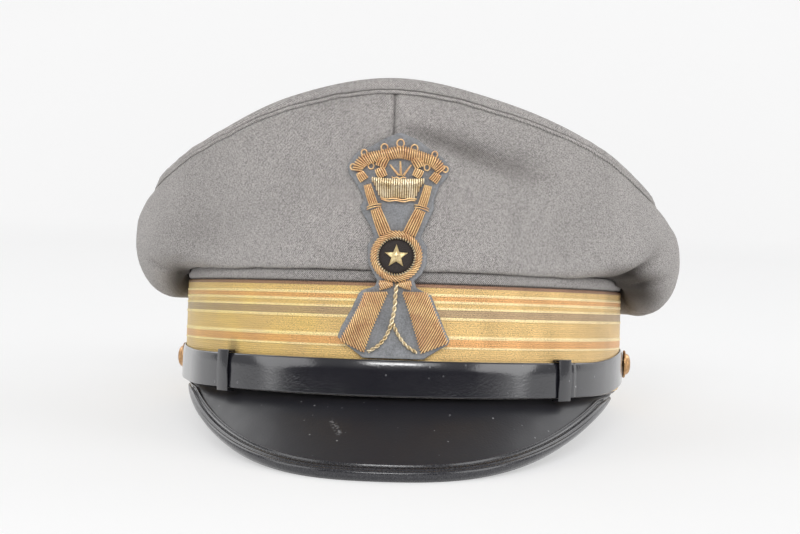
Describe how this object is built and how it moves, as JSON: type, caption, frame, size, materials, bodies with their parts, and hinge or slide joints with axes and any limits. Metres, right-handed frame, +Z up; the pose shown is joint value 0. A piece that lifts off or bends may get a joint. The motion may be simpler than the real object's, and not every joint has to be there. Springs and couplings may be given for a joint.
{
  "type": "peaked military cap",
  "caption": "Grey peaked officer's cap with a flared crown, gold-striped band, black patent peak and strap, and an embroidered badge on the front.",
  "frame": {"origin": "on the table under the middle of the cap's bounding box", "axes": "+Z up from the table, -Y towards the peak (the cap's front), +X to the right as seen from the front"},
  "size_m": [0.2122, 0.2656, 0.1272],
  "materials": {
    "cloth": "mid-grey fine wool twill, matt",
    "braid": "woven metal-thread braid in gold with orange and brown stripes",
    "patent_leather": "black patent, high gloss",
    "gilt_metal": "worn gilt, domed",
    "badge_felt": "slate-blue felt, matt",
    "roundel_cloth": "near-black velvet",
    "orange_gold_thread": "twisted orange-gold metal thread laid side by side",
    "pale_gold_thread": "twisted pale gold metal thread"
  },
  "bodies": {
    "root": {"arch_leg_left": "orange_gold_thread", "arch_leg_right": "orange_gold_thread", "badge_cord": "pale_gold_thread", "badge_cord_end": "pale_gold_thread", "badge_felt": "badge_felt", "button_left": "gilt_metal", "button_right": "gilt_metal", "coronet_arch": "orange_gold_thread", "coronet_basket": "pale_gold_thread", "coronet_loop_left_1": "pale_gold_thread", "coronet_loop_left_2": "pale_gold_thread", "coronet_loop_left_3": "pale_gold_thread", "coronet_loop_right_1": "pale_gold_thread", "coronet_loop_right_2": "pale_gold_thread", "coronet_loop_right_3": "pale_gold_thread", "crown_top": "cloth", "crown_welt": "cloth", "gold_braid": "braid", "headband": "cloth", "keeper_left": "patent_leather", "keeper_right": "patent_leather", "quarter_back_left": "cloth", "quarter_back_right": "cloth", "quarter_front_left": "cloth", "quarter_front_right": "cloth", "roundel_disc": "roundel_cloth", "roundel_ring": "orange_gold_thread", "roundel_star": "pale_gold_thread", "stave_left": "orange_gold_thread", "stave_right": "orange_gold_thread", "stave_tip_left": "orange_gold_thread", "stave_tip_right": "orange_gold_thread", "strap_over": "patent_leather", "strap_under": "patent_leather", "tail_left": "orange_gold_thread", "tail_right": "orange_gold_thread", "tie_left": "pale_gold_thread", "tie_right": "pale_gold_thread", "visor": "patent_leather", "visor_binding": "patent_leather"}
  },
  "joints": []
}
